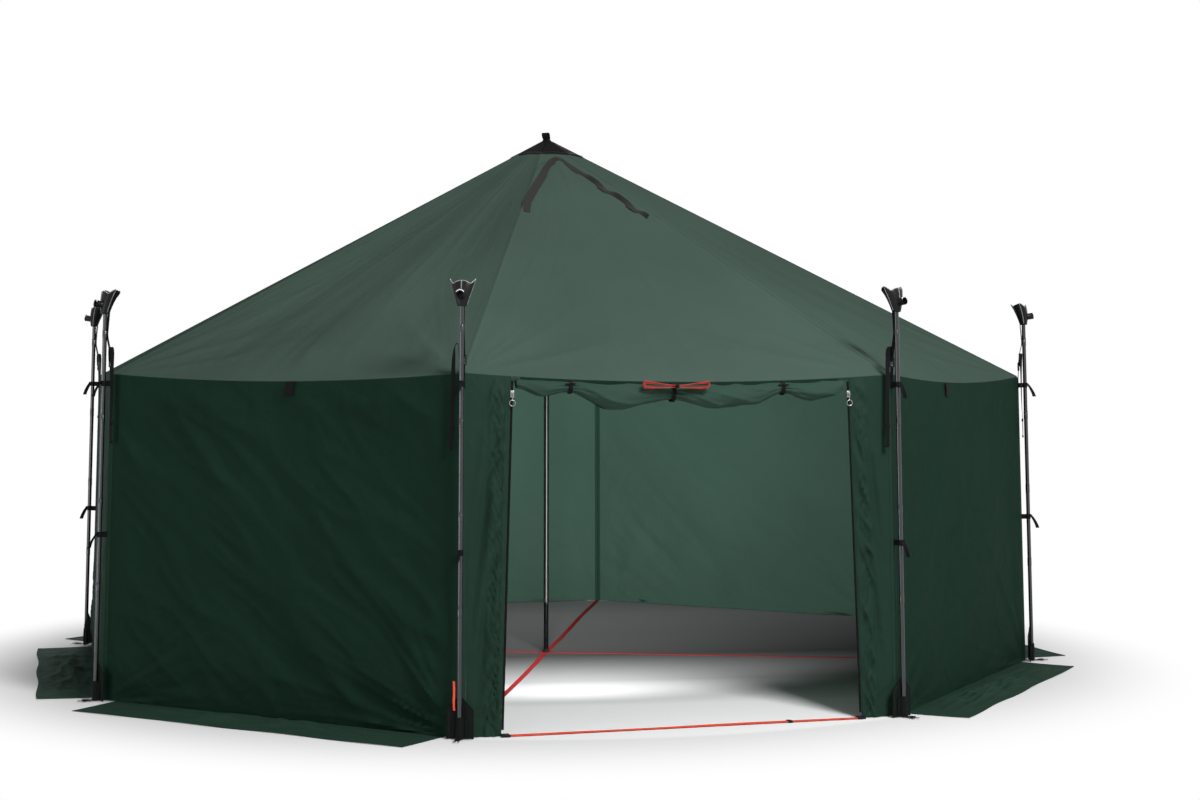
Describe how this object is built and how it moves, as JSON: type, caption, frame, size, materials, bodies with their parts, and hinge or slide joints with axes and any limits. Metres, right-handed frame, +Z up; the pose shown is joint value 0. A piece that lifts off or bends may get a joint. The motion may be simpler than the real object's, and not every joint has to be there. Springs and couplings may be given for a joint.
{
  "type": "tent",
  "caption": "Green group tent on a centre pole, with wall poles lashed at its corners, a roof vent, red floor webbing and a doorway whose door is rolled up between side zips.",
  "frame": {"origin": "on the ground under the apex, at the foot of the centre pole", "axes": "+Z up, -Y out through the doorway, +X to the right of someone outside who faces the doorway"},
  "size_m": [4.2448, 4.1235, 2.2564],
  "materials": {
    "roof_green": "satin",
    "wall_green": "satin",
    "skirt_green": "satin",
    "black_webbing": "matte",
    "zip_black": "matte",
    "black_plastic": "satin",
    "red_webbing": "matte",
    "red_cord": "matte",
    "aluminium": "satin",
    "aluminium_dark": "satin",
    "steel": "satin"
  },
  "bodies": {
    "tent": {"roof": "roof_green", "apex_cap": "black_webbing", "vent_hood": "roof_green", "wall_front_right": "wall_green", "wall_right": "wall_green", "wall_back_right": "wall_green", "wall_back": "wall_green", "wall_back_left": "wall_green", "wall_left": "wall_green", "wall_front_left": "wall_green", "skirt_front_right": "skirt_green", "skirt_right": "skirt_green", "skirt_back_right": "skirt_green", "skirt_back": "skirt_green", "skirt_back_left": "skirt_green", "skirt_left": "skirt_green", "skirt_front_left": "skirt_green", "door_panel_left": "wall_green", "zip_left": "zip_black", "door_panel_right": "wall_green", "zip_right": "zip_black", "door_roll": "wall_green", "door_tie_left": "black_webbing", "door_tie_centre": "black_webbing", "door_tie_right": "black_webbing", "guy_line_hank": "red_cord", "pole_front_left": "aluminium", "pole_front_right": "aluminium", "pole_right_front": "aluminium", "pole_right_back": "aluminium", "pole_back_right": "aluminium", "pole_back_left": "aluminium", "pole_left_back": "aluminium", "pole_left_front": "aluminium", "cup_front_left": "black_webbing", "cup_front_right": "black_webbing", "cup_right_front": "black_webbing", "cup_right_back": "black_webbing", "cup_back_right": "black_webbing", "cup_back_left": "black_webbing", "cup_left_back": "black_webbing", "cup_left_front": "black_webbing", "corner_front_left": "black_webbing", "corner_front_right": "black_webbing", "corner_right_front": "black_webbing", "corner_right_back": "black_webbing", "corner_back_right": "black_webbing", "corner_back_left": "black_webbing", "corner_left_back": "black_webbing", "corner_left_front": "black_webbing", "centre_pole_upper": "aluminium", "floor_straps": "red_webbing", "sill_strap": "red_webbing"},
    "zip_slider_left": {"zip_slider_left": "steel"},
    "zip_slider_right": {"zip_slider_right": "steel"},
    "zip_pull_left": {"zip_pull_left": "steel"},
    "zip_pull_right": {"zip_pull_right": "steel"},
    "centre_pole_leg": {"centre_pole_leg": "aluminium_dark"},
    "centre_pole_button": {"centre_pole_button": "steel"},
    "sill_slider": {"sill_slider": "black_plastic"}
  },
  "joints": [
    {"name": "zip_slide_left", "type": "slide", "parent": "tent", "child": "zip_slider_left", "axis": [-0.0337, -0.0262, -0.9991], "range_m": [0, 1.03]},
    {"name": "pull_hinge_left", "type": "hinge", "parent": "zip_slider_left", "child": "zip_pull_left", "pos_m": [-0.60451, -1.87042, 1.13132], "axis": [-0.9994, 0, 0.0337], "range_deg": [0, 150]},
    {"name": "zip_slide_right", "type": "slide", "parent": "tent", "child": "zip_slider_right", "axis": [0.0337, -0.0262, -0.9991], "range_m": [0, 1.03]},
    {"name": "pull_hinge_right", "type": "hinge", "parent": "zip_slider_right", "child": "zip_pull_right", "pos_m": [0.60451, -1.87042, 1.13132], "axis": [-0.9994, 0, -0.0337], "range_deg": [0, 150]},
    {"name": "leg_slide", "type": "slide", "parent": "tent", "child": "centre_pole_leg", "axis": [0, 0, -1], "range_m": [0, 0.154]},
    {"name": "button_press", "type": "slide", "parent": "centre_pole_leg", "child": "centre_pole_button", "axis": [0, 1, 0], "range_m": [0, 0.0034], "stiffness_N_per_m": 400},
    {"name": "sill_slide", "type": "slide", "parent": "tent", "child": "sill_slider", "axis": [1, 0, 0], "range_m": [-0.97, 0.235]}
  ]
}
